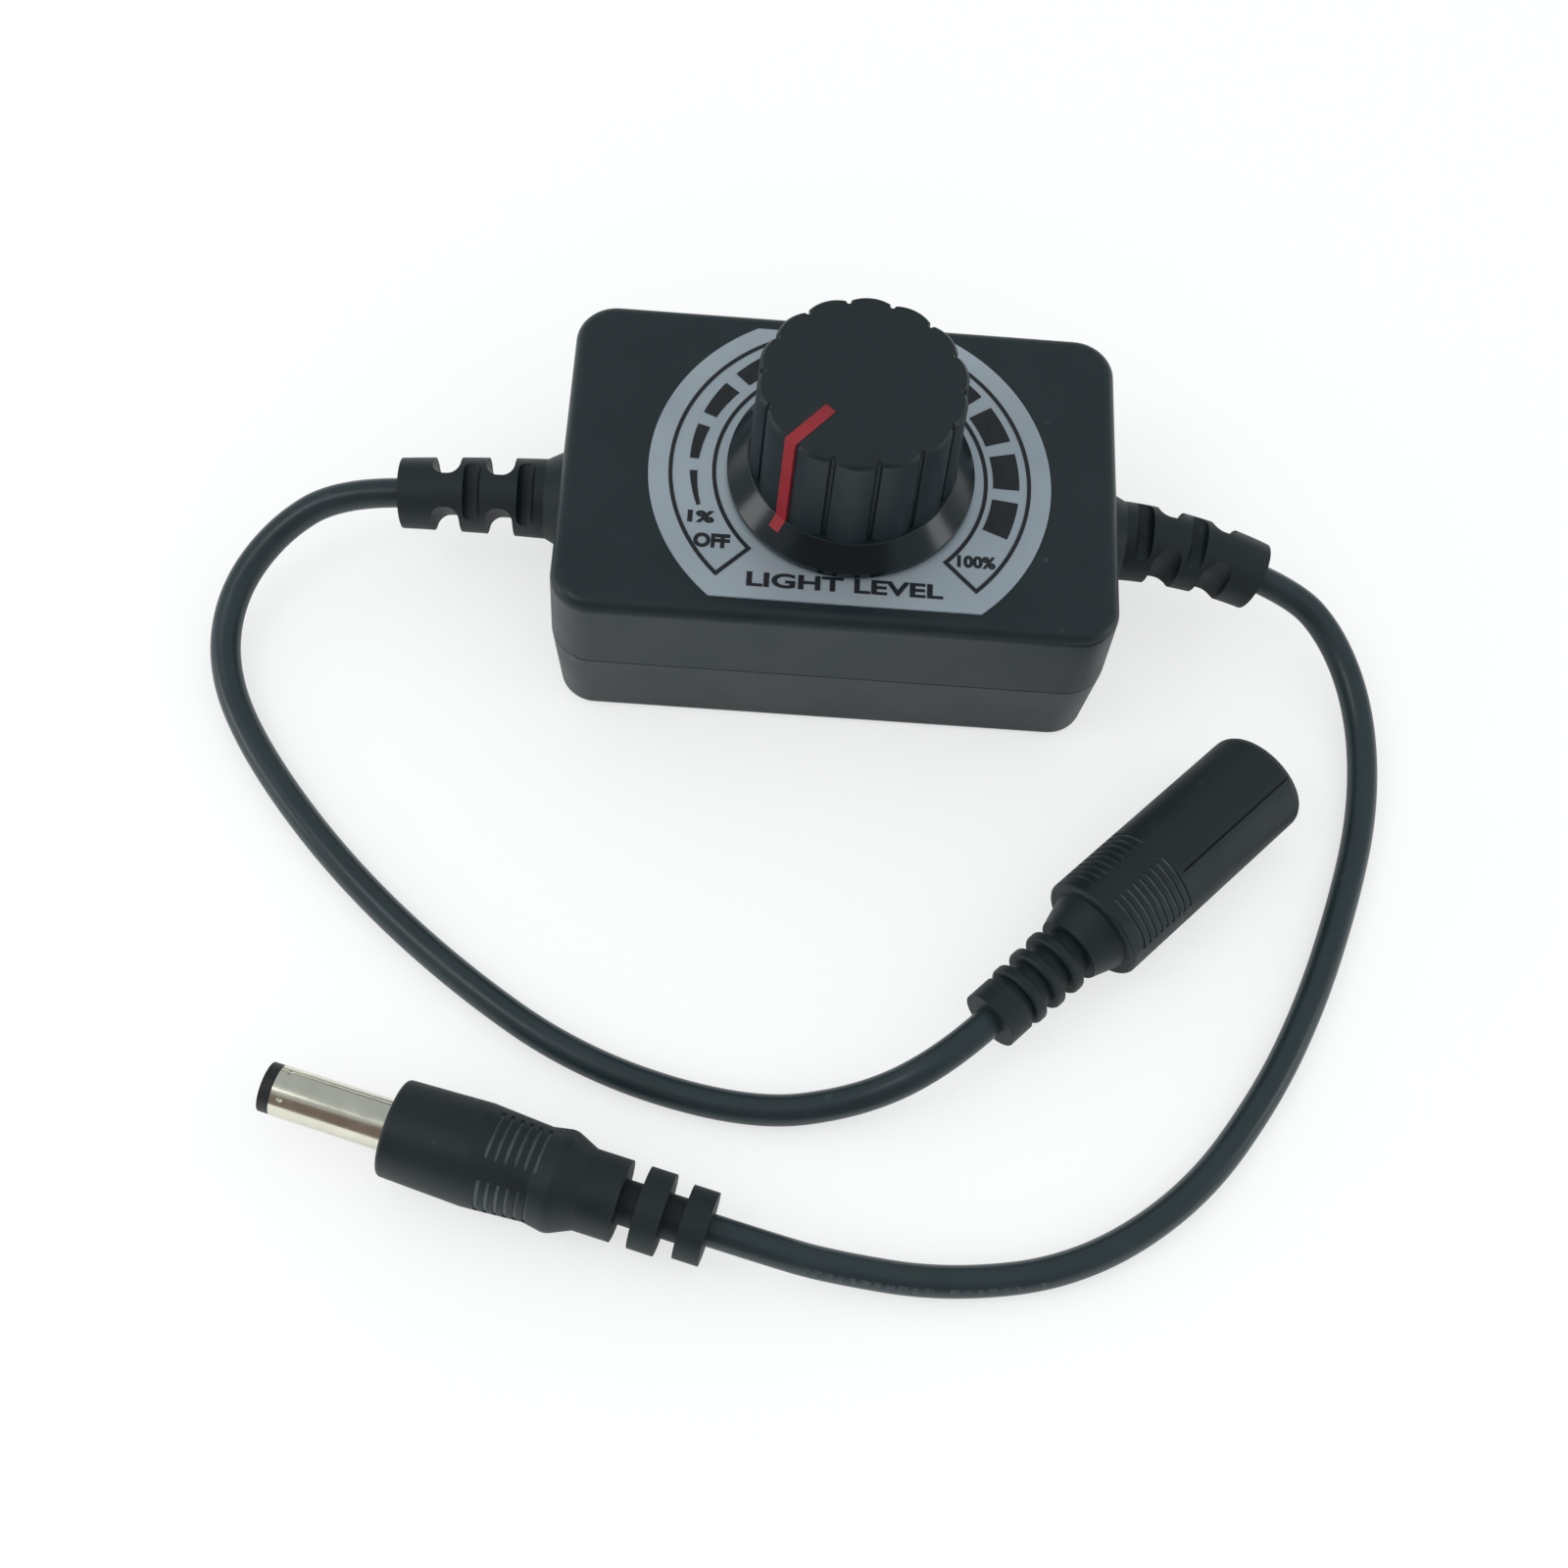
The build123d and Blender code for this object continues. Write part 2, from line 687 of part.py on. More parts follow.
# Knob: fluted body on a glossy skirt, hollow underneath round a ribbed hub
hollow_radius = notch_radius(knob_top_radius) - lobe_groove - knob_wall
hollow_top = shaft_top + nest_gap
with BuildPart() as knob:
    flute_sections = (
        (flute_bottom, knob_base_radius),
        (knob_top - knob_chamfer, knob_top_radius),
        (knob_top, knob_top_radius - knob_chamfer),
    )
    for height, radius in flute_sections:
        with BuildSketch(dial_level(height)) as section:
            lobed_outline(radius)
            fillet(groove_corners(section, radius), lobe_edge)
    loft(ruled=True)
    with BuildSketch(radial_plane(pointer_angle)):
        with BuildLine():
            Polyline(
                (0, knob_bottom),
                (skirt_radius, knob_bottom),
                (skirt_radius, knob_bottom + skirt_rim),
                (knob_base_radius, flute_bottom),
                (0, flute_bottom),
                close=True,
            )
        make_face()
    revolve(axis=dial_axis)
    with BuildSketch(dial_level(knob_bottom)):
        Circle(hollow_radius)
    extrude(amount=hollow_top - knob_bottom, mode=Mode.SUBTRACT)
    with BuildSketch(dial_level(hub_bottom)):
        Circle(hub_radius)
        with PolarLocations(0, 2, angular_range=180):
            Rectangle(2 * hollow_radius + knob_wall, hub_rib)
    extrude(amount=hollow_top - hub_bottom)
    with BuildSketch(dial_level(hub_bottom)):
        Circle(shaft_radius + bond_gap)
        with Locations((0, shaft_flat + bond_gap + shaft_radius)):
            Rectangle(3 * shaft_radius, 2 * shaft_radius, mode=Mode.SUBTRACT)
    extrude(amount=hollow_top - hub_bottom, mode=Mode.SUBTRACT)
    add(knob_pointer.part, mode=Mode.SUBTRACT)
keep(knob, "knob")


# Glands: a flange inside the wall, a flare outside it, then slots turned by a quarter in turn
def gland_plane(side, bend, droop, roll, distance):
    angle = radians(bend) * max(distance, 0) / gland_length
    sweep_radius = gland_length / radians(bend)
    along = sweep_radius * sin(angle) + min(distance, 0)
    across = sweep_radius * (1 - cos(angle))
    down = Vector(0, -sin(radians(droop)), -cos(radians(droop)))
    start = Vector(side * case_length / 2, gland_y, seam_height)
    heading = Vector(side * cos(angle), 0, 0) + down * sin(angle)
    upright = Vector(0, -sin(radians(roll)), cos(radians(roll)))
    return Plane(start + Vector(side * along, 0, 0) + down * across, x_dir=upright, z_dir=heading)


def gland(side, bend, droop, roll):
    def level(distance):
        return gland_plane(side, bend, droop, roll, distance)

    with BuildPart() as piece:
        with BuildSketch(level(-neck_length - flange_thickness)):
            Circle(flange_radius)
        extrude(amount=flange_thickness)
        with BuildSketch(level(-neck_length)):
            Circle(neck_radius)
        extrude(amount=neck_length)
        with BuildSketch(level(0)):
            Circle(flare_radius)
        with BuildSketch(level(flare_length)):
            Circle(gland_base_radius)
        loft()
        with BuildSketch(level(flare_length)):
            Circle(gland_base_radius)
        with BuildSketch(level((flare_length + gland_length) / 2)):
            Circle((gland_base_radius + gland_end_radius) / 2)
        with BuildSketch(level(gland_length)):
            Circle(gland_end_radius)
        loft()
        slot_kinds = (
            (face_slot_width, face_slot_web, face_slot_round),
            (side_slot_width, side_slot_web, side_slot_round),
        )
        slot_at = slot_start
        for slot in range(2 * slot_pairs):
            width, web, floor_round = slot_kinds[slot % 2]
            middle = level(slot_at + width / 2)
            outward = (middle.x_dir, middle.y_dir)[slot % 2]
            slot_reach = web / 2 + gland_base_radius
            with BuildSketch(Plane(middle.origin, x_dir=outward, z_dir=outward.cross(middle.z_dir))):
                with Locations((slot_reach, 0), (-slot_reach, 0)):
                    RectangleRounded(2 * gland_base_radius, width, floor_round)
            extrude(amount=2 * gland_base_radius, both=True, mode=Mode.SUBTRACT)
            slot_at += width + rib_width
    return piece


input_gland = gland(-1, input_bend, input_droop, input_roll)
keep(input_gland, "input_gland")
output_gland = gland(1, output_bend, output_droop, output_roll)
keep(output_gland, "output_gland")

# Wires from each gland down to the board, positive and negative
wire_start = case_length / 2 - neck_length - flange_thickness
wire_end = board_length / 2 - wire_landing


def wires(offset_y):
    with BuildPart() as pair:
        for side in (-1, 1):
            y = gland_y + offset_y
            with BuildLine() as route:
                FilletPolyline(
                    (side * wire_start, y, seam_height),
                    (side * wire_end, y, seam_height),
                    (side * wire_end, y, board_top),
                    radius=wire_bend,
                )
            with BuildSketch(Plane(route.line @ 0, z_dir=route.line % 0)):
                Circle(wire_radius)
            sweep(path=route.line)
    return pair


red_wires = wires(wire_spacing / 2)
keep(red_wires, "red_wires")
black_wires = wires(-wire_spacing / 2)
keep(black_wires, "black_wires")


# Leads: straight runs joined by arcs as large as the runs allow
def lead(points):
    route_points = [Vector(*point) for point in points]
    runs = [b - a for a, b in zip(route_points, route_points[1:])]
    radii = []
    for first, second in zip(runs, runs[1:]):
        half_turn = radians(first.get_angle(second)) / 2
        radii.append(0.45 * min(first.length, second.length) / tan(half_turn))
    with BuildPart() as tube:
        with BuildLine() as route:
            FilletPolyline(*route_points, radius=radii)
        with BuildSketch(Plane(route.line @ 0, z_dir=route.line % 0)):
            Circle(lead_radius)
        sweep(path=route.line)
    length = sum(edge.length for edge in route.edges())
    section = tube.part.volume / length
    print("lead radii", [round(radius, 1) for radius in radii])
    print("lead length", round(length, 1), "section", round(section, 3))
    return tube


input_points = [
    (-51.184, 0.227, 11.353),
    (-58.766, 0.089, 10.841),
    (-66.0, -4.0, 7.9),
    (-70.7, -11.4, 5.0),
    (-70.8, -20.4, 2.5),
    (-65.3, -30.7, 1.75),
    (-54.0, -44.1, 1.75),
    (-40.2, -56.0, 1.75),
    (-24.5, -66.0, 1.75),
    (-6.0, -70.6, 1.75),
    (6.0, -68.6, 2.7),
    (14.802, -64.601, 6.35),
    (19.7, -59.6, 6.35),
]
output_points = [
    (50.812, -1.596, 9.351),
    (56.45, -2.831, 7.712),
    (60.7, -6.4, 5.8),
    (63.8, -12.6, 3.8),
    (65.0, -20.6, 2.3),
    (64.1, -30.5, 1.75),
    (60.9, -41.8, 1.75),
    (56.7, -53.4, 1.75),
    (51.1, -64.7, 1.75),
    (42.4, -76.8, 1.75),
    (30.0, -85.3, 1.75),
    (16.0, -87.8, 1.75),
    (3.2, -86.8, 3.0),
    (-3.389, -85.965, 5.6),
    (-9.389, -84.402, 5.6),
]
input_lead = lead(input_points)
keep(input_lead, "input_lead")
output_lead = lead(output_points)
keep(output_lead, "output_lead")


# Plug and socket lie on the table: local X along the axis, local Y up, turned about the axis if asked
def lying_plane(place, height, heading, turn=0):
    along = Vector(1, 0, 0).rotate(Axis.Z, heading)
    up = Vector(0, 0, 1)
    side = along.cross(up) * cos(radians(turn)) - up * sin(radians(turn))
    return Plane((place[0], place[1], height), x_dir=along, z_dir=side)


def socket_side(turn=0):
    return lying_plane(socket_end, socket_radius, socket_heading, turn)


def plug_side(turn=0):
    return lying_plane(plug_tip, plug_radius, plug_heading, turn)


def tube_profile(start, end, outer, inner):
    Polygon((start, inner), (end, inner), (end, outer), (start, outer), align=None)


def grip_lines(side, start, count, pitch, radius, slope=0, turn=0):
    # Short grooves in patches round the body, with smooth strips between them
    axis = Axis(side().origin, side().x_dir)
    places = [(start + line * pitch, radius + line * pitch * slope) for line in range(count)]
    with BuildPart() as grooves:
        for patch in range(grip_patches):
            with BuildSketch(side(turn + patch * 360 / grip_patches - grip_arc / 2)):
                with Locations(*places):
                    Rectangle(grip_line, 2 * grip_depth)
            revolve(axis=axis, revolution_arc=grip_arc)
    return grooves.part


socket_axis = Axis(socket_side().origin, socket_side().x_dir)
body_start = socket_length - socket_body_length
cone_start = body_start - socket_cone_length
insert_start = socket_length - insert_length
insert_end = socket_length - insert_recess
bore_start = insert_end - socket_bore_depth

# Socket body: collar, ribs, cone and gripped barrel round the insert, with the mould's parting lines
socket_grip_at = body_start + socket_grip_start
socket_grip_end = socket_grip_at + socket_grip_lines * socket_grip_pitch
socket_grip = grip_lines(
    socket_side,
    socket_grip_at,
    socket_grip_lines,
    socket_grip_pitch,
    socket_radius,
    turn=socket_grip_turn,
)
with BuildPart() as socket_body:
    with BuildSketch(socket_side()):
        Polygon(
            (0, 0),
            (0, socket_collar_radius),
            (socket_collar_length, socket_collar_radius),
            (socket_collar_length, socket_core_radius),
            (cone_start, socket_core_radius),
            (cone_start, socket_cone_small),
            (body_start, socket_cone_large),
            (body_start, socket_radius),
            (socket_length, socket_nose_radius),
            (socket_length, insert_radius),
            (insert_start, insert_radius),
            (insert_start, 0),
            align=None,
        )
        for rib in range(socket_rib_count):
            rib_radius = socket_cone_small - socket_rib_step * rib
            with Locations((cone_start - socket_rib_pitch * (rib + 0.8), rib_radius / 2)):
                RectangleRounded(socket_rib_width, rib_radius, socket_rib_edge)
    revolve(axis=socket_axis)
    rims = socket_body.edges().filter_by(GeomType.CIRCLE)
    fillet(rims.group_by(socket_axis)[-1].sort_by(SortBy.RADIUS)[-1], socket_nose_edge)
    shoulders = socket_body.edges().filter_by(GeomType.CIRCLE).sort_by(SortBy.RADIUS)
    fillet(shoulders[-1], socket_shoulder_edge)
    add(socket_grip, mode=Mode.SUBTRACT)
    for turn in (parting_turn, parting_turn + 180):
        with BuildSketch(socket_side(turn)):
            with Locations(((socket_grip_end + socket_length) / 2, socket_nose_radius)):
                Rectangle(socket_length - socket_grip_end, 2 * parting_depth)
        extrude(amount=parting_width / 2, both=True, mode=Mode.SUBTRACT)
keep(socket_body, "socket_body")

# Moulded insert with the contact bore, and a slot for the side spring
with BuildPart() as socket_insert:
    with BuildSketch(socket_side()):
        tube_profile(insert_start, insert_end, insert_radius - bond_gap, socket_pin_radius + bond_gap)
    revolve(axis=socket_axis)
    with BuildSketch(socket_side()):
        tube_profile(bore_start, insert_end, socket_bore_radius, 0)
    revolve(axis=socket_axis, mode=Mode.SUBTRACT)
    with BuildSketch(socket_side()):
        slot_top = socket_bore_radius + spring_thickness + bond_gap
        tube_profile(bore_start, insert_end - spring_recess, slot_top, 0)
    extrude(amount=spring_width / 2 + bond_gap, both=True, mode=Mode.SUBTRACT)
keep(socket_insert, "socket_insert")

with BuildPart() as socket_pin:
    with BuildSketch(socket_side()):
        tube_profile(insert_start, insert_end - socket_pin_recess, socket_pin_radius, 0)
    revolve(axis=socket_axis)
    fillet(socket_pin.faces().sort_by(socket_axis)[-1].edges(), socket_pin_radius / 2)
keep(socket_pin, "socket_pin")

with BuildPart() as socket_spring:
    with BuildSketch(socket_side()):
        spring_top = socket_bore_radius + spring_thickness
        tube_profile(bore_start, insert_end - spring_recess, spring_top, socket_bore_radius)
    extrude(amount=spring_width / 2, both=True)
keep(socket_spring, "socket_spring")

# Plug body: tapered grip, waist, shoulder and two strain-relief rings
plug_axis = Axis(plug_side().origin, plug_side().x_dir)
plug_length = barrel_length + plug_body_length
grip_at = barrel_length + plug_grip_start
waist_at = grip_at + plug_waist_length
bulge_at = waist_at + plug_bulge_length
neck_at = bulge_at + plug_shoulder_length
neck_end = neck_at + plug_neck_length
ring_at = neck_end + plug_groove
ring_end = ring_at + plug_ring_width
last_ring_at = ring_end + plug_groove
waist_slope = (plug_waist_radius - plug_radius) / plug_waist_length
grip_side = plug_radius + plug_grip_offset * waist_slope
plug_grip = grip_lines(
    plug_side,
    grip_at + plug_grip_offset,
    plug_grip_lines,
    plug_grip_pitch,
    grip_side,
    waist_slope,
    plug_grip_turn,
)
with BuildPart() as plug_body:
    with BuildSketch(plug_side()):
        Polygon(
            (barrel_length, 0),
            (barrel_length, plug_nose_radius),
            (grip_at, plug_radius),
            (waist_at, plug_waist_radius),
            (bulge_at, plug_radius),
            (neck_at, plug_neck_radius),
            (neck_end, plug_neck_radius),
            (neck_end, plug_core_radius),
            (ring_at, plug_core_radius),
            (ring_at, plug_neck_radius),
            (ring_end, plug_neck_radius),
            (ring_end, plug_core_radius),
            (last_ring_at, plug_core_radius),
            (last_ring_at, plug_end_radius),
            (plug_length, plug_end_radius),
            (plug_length, 0),
            align=None,
        )
    revolve(axis=plug_axis)
    rims = plug_body.edges().filter_by(GeomType.CIRCLE)
    fillet(rims.group_by(plug_axis)[0], plug_nose_edge)
    widest = plug_body.edges().filter_by(GeomType.CIRCLE).group_by(SortBy.RADIUS)[-1]
    fillet(widest, plug_edge)
    with BuildSketch(plug_side()):
        tail_radius = barrel_radius - barrel_wall + bond_gap
        tube_profile(barrel_length, barrel_length + barrel_seat, tail_radius, 0)
    revolve(axis=plug_axis, mode=Mode.SUBTRACT)
    add(plug_grip, mode=Mode.SUBTRACT)
keep(plug_body, "plug_body")

# Barrel, the outer contact, with a narrower tail in the body and two small dimples near the tip
barrel_end = barrel_length + barrel_seat
barrel_bore = barrel_radius - 2 * barrel_wall
with BuildPart() as plug_barrel:
    with BuildSketch(plug_side()):
        tube_profile(tip_ring, barrel_length, barrel_radius, barrel_bore)
        tube_profile(barrel_length, barrel_end, barrel_radius - barrel_wall, barrel_bore)
    revolve(axis=plug_axis)
    for turn in (-dimple_spread / 2, dimple_spread / 2):
        dimple_side = plug_side(turn)
        centre = dimple_side.origin + dimple_side.x_dir * (tip_ring + dimple_from_tip)
        with Locations(centre + dimple_side.y_dir * (barrel_radius + dimple_radius - dimple_depth)):
            Sphere(dimple_radius, mode=Mode.SUBTRACT)
keep(plug_barrel, "plug_barrel")

with BuildPart() as plug_tip_ring:
    with BuildSketch(plug_side()):
        tube_profile(0, tip_ring, tip_ring_radius, tip_mouth_radius)
    revolve(axis=plug_axis)
keep(plug_tip_ring, "plug_tip_ring")

# Insulator between the barrel and the inner contact
with BuildPart() as plug_insulator:
    with BuildSketch(plug_side()):
        tube_profile(tip_ring, barrel_end, barrel_bore - bond_gap, contact_radius + bond_gap)
    revolve(axis=plug_axis)
keep(plug_insulator, "plug_insulator")

with BuildPart() as plug_contact:
    with BuildSketch(plug_side()):
        tube_profile(tip_ring, barrel_end, contact_radius, contact_bore_radius)
    revolve(axis=plug_axis)
keep(plug_contact, "plug_contact")
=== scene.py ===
import bpy
import json
from math import cos, radians, sin
from mathutils import Matrix, Vector


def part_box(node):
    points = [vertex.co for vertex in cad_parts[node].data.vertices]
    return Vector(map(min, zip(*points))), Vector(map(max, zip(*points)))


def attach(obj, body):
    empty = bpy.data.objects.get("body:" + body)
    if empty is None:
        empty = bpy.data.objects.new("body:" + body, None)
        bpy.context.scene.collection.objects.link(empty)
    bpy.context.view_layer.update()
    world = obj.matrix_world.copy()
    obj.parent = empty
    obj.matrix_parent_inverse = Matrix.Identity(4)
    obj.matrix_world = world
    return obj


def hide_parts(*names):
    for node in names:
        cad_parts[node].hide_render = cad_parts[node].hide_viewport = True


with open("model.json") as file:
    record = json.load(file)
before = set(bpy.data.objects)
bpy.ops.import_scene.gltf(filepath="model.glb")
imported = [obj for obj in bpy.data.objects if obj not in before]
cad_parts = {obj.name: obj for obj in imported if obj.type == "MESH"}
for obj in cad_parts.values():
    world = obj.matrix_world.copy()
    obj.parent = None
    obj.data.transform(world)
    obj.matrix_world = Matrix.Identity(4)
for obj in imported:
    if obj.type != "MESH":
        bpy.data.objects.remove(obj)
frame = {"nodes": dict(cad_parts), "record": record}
nodes = frame["nodes"]
scene = bpy.context.scene
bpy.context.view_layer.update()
mm = 0.001  # every size below is written in millimetres
print("frame loaded:", len(nodes), "nodes")


def tone(red, green, blue):
    # a screen colour, 0 to 255, as the linear colour that a shader wants
    def linear(value):
        value = value / 255
        return value / 12.92 if value <= 0.04045 else ((value + 0.055) / 1.055) ** 2.4

    return linear(red), linear(green), linear(blue), 1.0


# camera: stands in front of the case, high up, tipped a little clockwise
cameraView = {
    "lens": 49.5,
    "target": (-3.9, -29.2, 0.0),
    "distance": 253.9,
    "elevation": 63.0,
    "turn": -3.7,
    "roll": 7.2,
    "sensor": 36.0,
    "nearest": 10.0,
}


def lookBack(turn, rise):
    # unit vector to a place in front, turned about the upright and raised, in degrees
    turn, rise = radians(turn), radians(rise)
    return Vector((sin(turn) * cos(rise), -cos(turn) * cos(rise), sin(rise)))


def placeCamera(view):
    back = lookBack(view["turn"], view["elevation"])
    right = (-back).cross(Vector((0, 0, 1))).normalized()
    up = right.cross(-back)
    roll = radians(view["roll"])
    axisX = right * cos(roll) + up * sin(roll)
    axisY = up * cos(roll) - right * sin(roll)
    place = (Vector(view["target"]) + back * view["distance"]) * mm
    data = bpy.data.cameras.new("photoCamera")
    data.lens = view["lens"]
    data.sensor_width = view["sensor"]
    data.clip_start = view["nearest"] * mm
    camera = bpy.data.objects.new("photoCamera", data)
    scene.collection.objects.link(camera)
    turned = Matrix((axisX, axisY, back)).transposed().to_4x4()
    camera.matrix_world = Matrix.Translation(place) @ turned
    scene.camera = camera


placeCamera(cameraView)
print("camera placed")


# shader helpers
def newMaterial(name):
    material = bpy.data.materials.new(name)
    material.use_nodes = True
    tree = material.node_tree
    return material, tree, tree.nodes["Principled BSDF"]


def addNode(tree, kind, **settings):
    node = tree.nodes.new(kind)
    for key, value in settings.items():
        setattr(node, key, value)
    return node


def mixColour(tree, factor, first, second):
    node = addNode(tree, "ShaderNodeMix", data_type="RGBA")
    tree.links.new(factor, node.inputs["Factor"])
    for socket, value in ((node.inputs[6], first), (node.inputs[7], second)):
        if isinstance(value, bpy.types.NodeSocket):
            tree.links.new(value, socket)
        else:
            socket.default_value = value
    return node.outputs[2]


def spread(tree, value, low, high, fromLow=0.0, fromHigh=1.0, smooth=False):
    node = addNode(tree, "ShaderNodeMapRange")
    node.interpolation_type = "SMOOTHSTEP" if smooth else "LINEAR"
    tree.links.new(value, node.inputs["Value"])
    limits = {"From Min": fromLow, "From Max": fromHigh, "To Min": low, "To Max": high}
    for key, number in limits.items():
        node.inputs[key].default_value = number
    return node.outputs["Result"]


def mathNode(tree, operation, *values):
    node = addNode(tree, "ShaderNodeMath", operation=operation)
    for socket, value in zip(node.inputs, values):
        tree.links.new(value, socket)
    return node.outputs["Value"]


def addSockets(group, way, kind, *names):
    for name in names:
        group.interface.new_socket(name, in_out=way, socket_type="NodeSocket" + kind)


# moulded skin: fine spark texture, slow cloudiness and sparse dust specks
skinTexture = {
    "grainDetail": 3.0,
    "cloudDetail": 4.0,
    "speck": (0.03, 0.07),  # core and edge of a speck, in cells of the cloud scale
    "span": (0.3, 0.7),  # the part of a noise that is stretched to its full drift
    "relief": 0.05,  # rise of the moulded texture
    "filmRelief": 0.03,  # rise of the flat finishes' texture
}


def makeGrainGroup():
    group = bpy.data.node_groups.new("mouldedSkin", "ShaderNodeTree")
    addSockets(group, "INPUT", "Vector", "Vector")
    addSockets(group, "INPUT", "Float", "Grain Scale", "Cloud Scale")
    addSockets(group, "OUTPUT", "Float", "Height", "Cloud", "Specks")
    given = addNode(group, "NodeGroupInput").outputs
    result = addNode(group, "NodeGroupOutput")
    grain = addNode(group, "ShaderNodeTexNoise")
    grain.inputs["Detail"].default_value = skinTexture["grainDetail"]
    cloud = addNode(group, "ShaderNodeTexNoise")
    cloud.inputs["Detail"].default_value = skinTexture["cloudDetail"]
    specks = addNode(group, "ShaderNodeTexVoronoi", feature="F1")
    for texture, scale in ((grain, "Grain Scale"), (cloud, "Cloud Scale"), (specks, "Cloud Scale")):
        group.links.new(given["Vector"], texture.inputs["Vector"])
        group.links.new(given[scale], texture.inputs["Scale"])
    core, edge = skinTexture["speck"]
    speckled = spread(group, specks.outputs["Distance"], 1.0, 0.0, core, edge, smooth=True)
    group.links.new(grain.outputs["Fac"], result.inputs["Height"])
    group.links.new(cloud.outputs["Fac"], result.inputs["Cloud"])
    group.links.new(speckled, result.inputs["Specks"])
    return group


grainGroup = makeGrainGroup()


def addGrain(tree, look):
    place = addNode(tree, "ShaderNodeTexCoord")
    grain = addNode(tree, "ShaderNodeGroup", node_tree=grainGroup)
    tree.links.new(place.outputs["Object"], grain.inputs["Vector"])
    grain.inputs["Grain Scale"].default_value = look["grain"]
    grain.inputs["Cloud Scale"].default_value = look["cloud"]
    return place, grain


def drift(tree, noise, low, high):
    return spread(tree, noise, low, high, *skinTexture["span"])


# painted highlight: pale colour painted into the fine lines cut round a moulding, in place of the
# light their edges catch; how deep it starts and where it is thin
paintedGrooveHighlight = {"depth": (0.06, 0.14), "thinnest": 0.35, "span": (0.38, 0.6)}


# painted highlight: a mask of the grip grooves, which get a pale colour in place of the light their
# edges catch
def makeGrooveGroup():
    # the moulding's axis is the vector's X
    group = bpy.data.node_groups.new("paintedGrooveHighlight", "ShaderNodeTree")
    addSockets(group, "INPUT", "Vector", "Vector")
    addSockets(group, "INPUT", "Float", "Middle", "Half Length", "Radius", "Slope")
    addSockets(group, "OUTPUT", "Float", "PaintedHighlight")
    given = addNode(group, "NodeGroupInput").outputs
    result = addNode(group, "NodeGroupOutput")
    axes = addNode(group, "ShaderNodeSeparateXYZ")
    group.links.new(given["Vector"], axes.inputs["Vector"])
    across = addNode(group, "ShaderNodeCombineXYZ")
    for axis in ("Y", "Z"):
        group.links.new(axes.outputs[axis], across.inputs[axis])
    reach = addNode(group, "ShaderNodeVectorMath", operation="LENGTH")
    group.links.new(across.outputs["Vector"], reach.inputs[0])
    middle = given["Middle"]
    offset = mathNode(group, "SUBTRACT", axes.outputs["X"], middle)
    surface = mathNode(group, "MULTIPLY_ADD", offset, given["Slope"], given["Radius"])
    depth = mathNode(group, "SUBTRACT", surface, reach.outputs["Value"])
    first, full = paintedGrooveHighlight["depth"]
    sunk = spread(group, depth, 0.0, 1.0, first * mm, full * mm, smooth=True)
    inside = mathNode(group, "COMPARE", axes.outputs["X"], middle, given["Half Length"])
    group.links.new(mathNode(group, "MULTIPLY", sunk, inside), result.inputs["PaintedHighlight"])
    return group


grooveGroup = makeGrooveGroup()


# sets the painted-highlight mask of the grip grooves on the grip's axis
def addPaintedHighlight(tree, place, grip):
    centred = addNode(tree, "ShaderNodeMapping", vector_type="TEXTURE")
    centred.inputs["Location"].default_value = Vector(grip["place"]) * mm
    centred.inputs["Rotation"].default_value = (0.0, 0.0, radians(grip["heading"]))
    tree.links.new(place.outputs["Object"], centred.inputs["Vector"])
    dustAndHighlight = addNode(tree, "ShaderNodeGroup", node_tree=grooveGroup)
    tree.links.new(centred.outputs["Vector"], dustAndHighlight.inputs["Vector"])
    dustAndHighlight.inputs["Middle"].default_value = grip["middle"] * mm
    dustAndHighlight.inputs["Half Length"].default_value = grip["halfLength"] * mm
    dustAndHighlight.inputs["Radius"].default_value = grip["radius"] * mm
    dustAndHighlight.inputs["Slope"].default_value = grip["slope"]
    return dustAndHighlight.outputs["PaintedHighlight"]


def addBump(tree, height, shader, strength, distance):
    bump = addNode(tree, "ShaderNodeBump")
    bump.inputs["Strength"].default_value = strength
    bump.inputs["Distance"].default_value = distance * mm
    tree.links.new(height, bump.inputs["Height"])
    tree.links.new(bump.outputs["Normal"], shader.inputs["Normal"])


def mouldedPlastic(name, look, grip=None):
    # black mouldings: colour and gloss drift a little, with the tool's fine texture over all
    material, tree, shader = newMaterial(name)
    place, grain = addGrain(tree, look)
    cloudy = drift(tree, grain.outputs["Cloud"], 0.0, 1.0)
    body = mixColour(tree, cloudy, look["deep"], look["worn"])
    dusty = spread(tree, grain.outputs["Specks"], 0.0, look["dustAndHighlight"])
    skin = mixColour(tree, dusty, body, look["speck"])
    # painted highlight: the grip grooves take a pale colour, thinned in patches, in place of the
    # light their edges catch
    if grip:
        dustAndHighlight = addPaintedHighlight(tree, place, grip)
        thinnest, span = paintedGrooveHighlight["thinnest"], paintedGrooveHighlight["span"]
        thin = spread(tree, grain.outputs["Cloud"], thinnest, 1.0, *span)
        skin = mixColour(tree, mathNode(tree, "MULTIPLY", dustAndHighlight, thin), skin, grip["dustAndHighlight"])
    tree.links.new(skin, shader.inputs["Base Color"])
    tree.links.new(drift(tree, grain.outputs["Cloud"], *look["rough"]), shader.inputs["Roughness"])
    addBump(tree, grain.outputs["Height"], shader, look["bump"], skinTexture["relief"])
    shader.inputs["IOR"].default_value = look["ior"]
    return material


